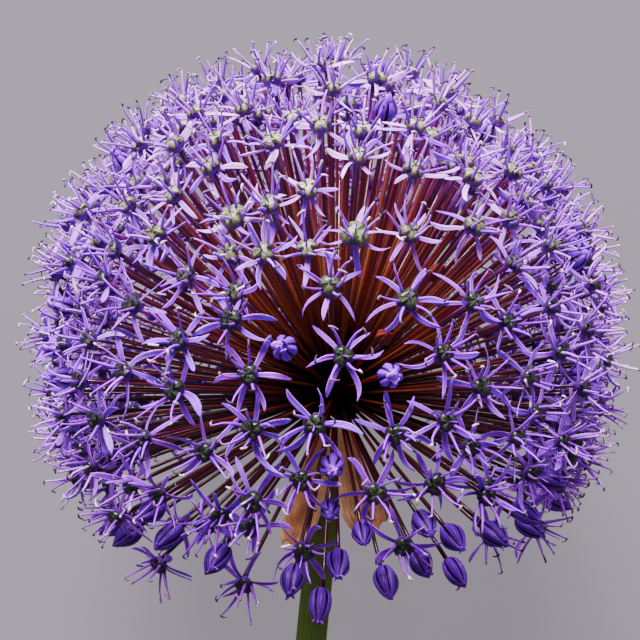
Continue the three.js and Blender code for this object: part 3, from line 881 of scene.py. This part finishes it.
def addStamens(f, filaments, anthers):
    turn = chance.uniform(-stamen["turn"], stamen["turn"])
    for k in range(6):
        radial, around = spoke(f, radians(60 * k + turn + stray(stamen["ownTurn"])))
        angle = radians(pick(stamen["angle"]))
        length = pick(stamen["length"])
        out = f["way"] * cos(angle) + radial * sin(angle)
        start = f["foot"] + radial * stamen["root"] + f["way"] * 0.2
        bow = radial * pick(stamen["bow"]) + around * stray(stamen["bowAround"])
        hook = around * stray(stamen["hookAround"]) + radial * pick(stamen["hook"])
        bow, hook, tint = bow * length, hook * length, chance.random()
        # painted highlight: filaments whiten on the crown and the outermost flanks
        pale = chance.uniform(0, stamen["pale"]) ** 2.4
        filaments.add(start, out, unit(np.cross(out, around)), (length, 1, 1), bow, hook, tint=tint,
                      pale=pale * max(crownShare(f, *stamen["paintedHighlightFrom"]), flankHighlightShare(f)))
        end = start + out * length + bow + hook
        lean = unit(around * stray(1) + radial * chance.normal(0.3, 0.6) + out * 0.5)
        size = pick(stamen["antherSize"]) * stamen["anther"]
        anthers.add(end - lean * 0.2, lean, np.cross(lean, around), (size, 1, 1),
                    bow=-out * stamen["antherBow"] * size, tint=chance.random())


ovary = dict(size=(2.4, 2.85), ripeSize=3.3, green=0.2, paintedHighlightFrom=(32, 22), style=(4, 6.5), lean=0.12,
             ripeUnseen=0.012)


def addOvary(f, ovaries, styles, ripe):
    size = (ovary["ripeSize"] if ripe else pick(ovary["size"])) / 1000
    # pale paints a cream highlight on the tops of the crown's ovaries
    ovaries.add(f["foot"] + f["way"] * 1.0, f["u"], f["way"], (size * 1000, size, size),
                ripe=1.0 if ripe else chance.uniform(0, ovary["green"]),
                pale=crownShare(f, *ovary["paintedHighlightFrom"]) * chance.uniform(0.5, 1))
    lean = f["way"] + f["u"] * stray(ovary["lean"]) + f["v"] * stray(ovary["lean"])
    lean, length = unit(lean), pick(ovary["style"])
    styles.add(f["foot"] + f["way"] * 1.6, lean, np.cross(lean, f["u"]), (length, 1, 1),
               tint=chance.random())


blades, strings, berries = bladeTree(), threadTree(), berryTree()
parts = dict(
    tepals=(blades, violet, dict(Steps=8, Width=0.0014, Thickness=0.0003, Channel=0.00045)),
    filaments=(strings, threads, dict(Sides=4, Steps=4, Root=0.00054, Tip=0.00019)),
    anthers=(strings, grey, dict(Sides=5, Steps=3, Root=0.0003, Tip=0.00024)),
    styles=(strings, threads, dict(Sides=4, Steps=2, Root=0.00026, Tip=0.00012)),
    ovaries=(berries, green, {}),
    stalks=(strings, maroon, dict(Sides=6, Steps=7, Root=0.00042, Tip=0.00058)),
    buds=(berries, indigo, dict(Segments=24, Rings=9, Lobes=6.0, LobeDepth=0.08, PairDepth=0.0, Dimple=0.0,
                                Squash=1.0, Point=0.4)))
ripeSeen = [florets[openSeen.index((355, 237))], florets[openSeen.index((228, 208))],
            min(florets, key=lambda f: norm(f["at"] - seenOnBall((372, 222))))]

for node, upper in (("umbel_crown", True), ("umbel_skirt", False)):
    spots = {part: Spots() for part in parts}
    for f in florets:
        if f["upper"] != upper:
            continue
        addStalk(f, spots["stalks"])
        if f["kind"] != "open":
            addBud(f, spots["buds"], spots["tepals"])
            continue
        addTepals(f, spots["tepals"])
        addStamens(f, spots["filaments"], spots["anthers"])
        ripe = any(f is r for r in ripeSeen) or (not f["seen"] and chance.random() < ovary["ripeUnseen"])
        addOvary(f, spots["ovaries"], spots["styles"], ripe)
    for part, (tree, material, sizes) in parts.items():
        name = node.replace("umbel_", "") + "_" + part
        claim(grow(name, tree, spots[part].columns(), material, **sizes), "florets", node)
print("florets grown")


# the swollen stem top, the stem and the bracts

def meshPiece(name, points, faces, material, **layers):
    mesh = addMesh(name, toPart(np.array(points)), faces)
    for key, values in layers.items():
        mesh.attributes.new(key, "FLOAT", "POINT").data.foreach_set("value", np.array(values, float))
    mesh.shade_smooth()
    mesh.materials.append(material)
    return addObject(name, mesh)


def ringFaces(rings, sides, first=0):
    corners = (0, 0), (1, 0), (1, 1), (0, 1)
    return [tuple(first + (i + down) * sides + (s + on) % sides for down, on in corners)
            for i in range(rings - 1) for s in range(sides)]


def makeCushion():
    size = dict(radius=9.1, foot=-6.9, rings=16, sides=40)
    lowest = asin(size["foot"] / size["radius"])
    points = [(0, 0, size["foot"])]
    for i in range(size["rings"]):
        lift = lowest + (pi / 2 - lowest) * i / size["rings"]
        for s in range(size["sides"]):
            a = 2 * pi * s / size["sides"]
            r = size["radius"] * (1 + 0.012 * sin(5 * a + 7 * lift))
            flat, height = r * cos(lift), r * sin(lift) if i else size["foot"]
            points.append((flat * cos(a), flat * sin(a), height))
    points.append((0, 0, size["radius"]))
    n = size["sides"]
    faces = [tuple(reversed(face)) for face in ringFaces(size["rings"], n, 1)]
    faces += [(0, 1 + (s + 1) % n, 1 + s) for s in range(n)]
    last, start = len(points) - 1, 1 + (size["rings"] - 1) * n
    faces += [(last, start + s, start + (s + 1) % n) for s in range(n)]
    piece = meshPiece("stem_top", points, faces, cushionMaterial())
    claim(piece, "stem", "umbel_crown", "umbel_skirt")


# cut: how deep, how wide and how pithy each ring of the cut end is
stem = dict(top=7.3, neck=3.2, length=lying["stemLength"], radius=4.7, footRadius=lying["stemFoot"],
            lean=5.2, ridges=22, ridge=0.09, sides=88, rings=60,
            cut=[(0, 0.93, 0.6), (0.5, 0.85, 1), (0.3, 0.4, 1)])


def stemMiddle(down):
    return np.array([-tan(radians(stem["lean"])) * down, 0, -down])


def makeStem():
    points, along, across, pith = [], [], [], []
    n = stem["sides"]

    def ring(down, radius, middle=0.0):
        ridge = stem["ridge"] / stem["radius"] if middle < 0.5 else 0
        for s in range(n):
            a = 2 * pi * s / n
            r = radius * (1 + ridge * (cos(stem["ridges"] * a) - 1))
            points.append(stemMiddle(down) + (r * cos(a), r * sin(a), 0))
            along.append((down - stem["top"]) / (stem["length"] - stem["top"]))
            across.append(abs(2 * s / n - 1) * 2)
            pith.append(middle)
    ring(stem["top"], stem["neck"])
    for i in range(stem["rings"]):
        share = i / (stem["rings"] - 1)
        ring(stem["top"] + (stem["length"] - stem["top"]) * share,
             stem["radius"] + (stem["footRadius"] - stem["radius"]) * share)
    for deep, wide, middle in stem["cut"]:
        ring(stem["length"] - deep, stem["footRadius"] * wide, middle)
    rings = stem["rings"] + 1 + len(stem["cut"])
    faces = ringFaces(rings, n)
    points.append(stemMiddle(stem["top"]))
    points.append(stemMiddle(stem["length"] - 0.5))
    for layer in (along, across, pith):
        layer += [layer[0], layer[-1]]
    top, foot, last = len(points) - 2, len(points) - 1, (rings - 1) * n
    faces += [(top, s, (s + 1) % n) for s in range(n)]
    faces += [(foot, last + (s + 1) % n, last + s) for s in range(n)]
    piece = meshPiece("stem", points, faces, stemMaterial(), along=along, across=across, pith=pith)
    claim(piece, "stem", "scape")


# both bracts; layers are how far their inner and outer side stand off the stem
paper = dict(acrossSteps=30, alongSteps=40, layers=(0.1, 0.6), hug=5, start=8.2, widest=1.1, tornFrom=0.85)
bracts = [dict(node="spathe_bract_left", turn=228, length=36, width=12, flare=10, flatten=12, blunt=4,
               ragged=0.1, phase=0.4),
          dict(node="spathe_bract_right", turn=332, length=32, width=16.5, flare=13.5, flatten=18, blunt=8,
               ragged=0.35, phase=2.1)]
bractPaper = bractMaterial()


def bractPoint(bract, out, share, side):  # share from root to tip, side from -1 to 1
    phase, turn = bract["phase"], radians(bract["turn"])
    half = bract["width"] / 2 * (0.5 + 1.1 * share)
    half = half * sqrt(1 - (1 - bract["ragged"]) * share ** bract["blunt"])
    ruffle = share * (0.5 * side * side * sin(9 * share + 4 * side + phase)
                      + 0.28 * sin(17 * share + 3 * side) + 0.16 * sin(26 * side + 7 * share))
    curl = paper["hug"] + out + bract["flatten"] * share ** 2
    bend = min(paper["widest"], half / curl) * side
    stand = bract["flare"] * share ** 1.5 - bract["flatten"] * share ** 2 + ruffle
    x, y = curl * cos(bend) + stand, curl * sin(bend)
    fray = 0.6 * sin(7 * side + phase) + 0.3 * sin(17 * side)
    fray = fray * max(0, share - paper["tornFrom"]) / 0.15
    return (stemMiddle(paper["start"] + bract["length"] * share + fray)
            + (x * cos(turn) - y * sin(turn), x * sin(turn) + y * cos(turn), 0))


def makeBract(bract):
    acrossSteps, alongSteps = paper["acrossSteps"], paper["alongSteps"]
    spots = [(out, j / alongSteps, 2 * i / acrossSteps - 1) for out in paper["layers"]
             for j in range(alongSteps + 1) for i in range(acrossSteps + 1)]
    points = [bractPoint(bract, *spot) for spot in spots]
    _, along, across = zip(*spots)
    n, m = acrossSteps + 1, (acrossSteps + 1) * (alongSteps + 1)
    faces = []
    for j in range(alongSteps):
        for i in range(acrossSteps):
            a, b, c, d = j * n + i, (j + 1) * n + i, (j + 1) * n + i + 1, j * n + i + 1
            faces += [(m + a, m + b, m + c, m + d), (a, d, c, b)]
        for i, flip in ((0, False), (acrossSteps, True)):
            a, b = j * n + i, (j + 1) * n + i
            faces.append((a, b, m + b, m + a) if not flip else (a, m + a, m + b, b))
    for i in range(acrossSteps):
        faces.append((i, m + i, m + i + 1, i + 1))
        e = alongSteps * n + i
        faces.append((e, e + 1, m + e + 1, m + e))
    piece = meshPiece(bract["node"] + "_paper", points, faces, bractPaper, along=along, across=across)
    claim(piece, "bracts", bract["node"])


makeCushion()
makeStem()
for bract in bracts:
    makeBract(bract)
print("stem and bracts made")


# table, lights and camera

room = dict(table=(0.036, 0.032, 0.038), glow=0.31, glowColor=(0.96, 0.86, 1), spill=0.3, tableHalf=30,
            backdropColor=(0.95, 0.85, 1), backdrop=0.56, world=0.06, light=(1, 0.91, 1))
# even lights from far off: where each comes from, how many degrees wide it is, and its power
lights = dict(key=((-0.22, 1.3, 0.85), 32, 23), low=((0.15, -1, 0.42), 45, 0.5),
              left=((-1, 0.1, 0.35), 40, 0.8), right=((1, 0.1, 0.35), 40, 0.8))


def makeTable():
    half = room["tableHalf"]
    mesh = addMesh("table", [(-half, -half, 0), (half, -half, 0), (half, half, 0), (-half, half, 0)],
                   [(0, 1, 2, 3)])
    material = startMaterial("pale table", Roughness=0.8, Specular_IOR_Level=0.2,
                             Emission_Strength=room["glow"])[0]
    glow = room["glowColor"]  # little of the table's even glow falls back on the flower
    weak = tuple(c * room["spill"] for c in glow)
    seen = put(material.node_tree, "ShaderNodeLightPath", out="Is Camera Ray")
    skin = useGroup(material.node_tree, mottle, Color=(*room["table"], 1), Scale=4.0, Strength=0.04)
    setShader(material, Base_Color=skin["Color"], Emission_Color=paint((*weak, 1), (seen, (*glow, 1))))
    mesh.materials.append(material)
    addObject("table", mesh)


def makeBackdrop():  # as pale as the table where it is seen past its edge, and dim as a light
    world = bpy.data.worlds.new("studio")
    world.use_nodes = True
    backdrop = world.node_tree.nodes["Background"]
    fill(backdrop.inputs["Color"], (*room["backdropColor"], 1))
    seen = put(world.node_tree, "ShaderNodeLightPath", out="Is Camera Ray")
    fill(backdrop.inputs["Strength"], mapRange(seen, 0.0, 1.0, room["world"], room["backdrop"]))
    bpy.context.scene.world = world


def makeLight(name, source, width, power):
    data = bpy.data.lights.new(name, "SUN")
    data.angle, data.energy, data.color = radians(width), power, room["light"]
    light = addObject(name, data)
    light.rotation_euler = (-Vector(source)).to_track_quat("-Z", "Y").to_euler()


def makeCamera():
    right, up, forward = (turnToPart(v) for v in (viewRight, viewUp, viewForward))
    data = bpy.data.cameras.new("camera")
    data.sensor_width = 36
    data.lens = data.sensor_width * view["distance"] / view["pixel"] / view["width"]
    data.clip_start = 0.01
    camera = addObject("camera", data)
    turn = Matrix([(*right,), (*up,), (*(-forward),)]).transposed().to_4x4()
    turn.translation = toPart(eye)
    camera.matrix_world = turn
    bpy.context.scene.camera = camera


makeTable()
for name, light in lights.items():
    makeLight(name, *light)
makeBackdrop()
makeCamera()
print("camera and lights set")
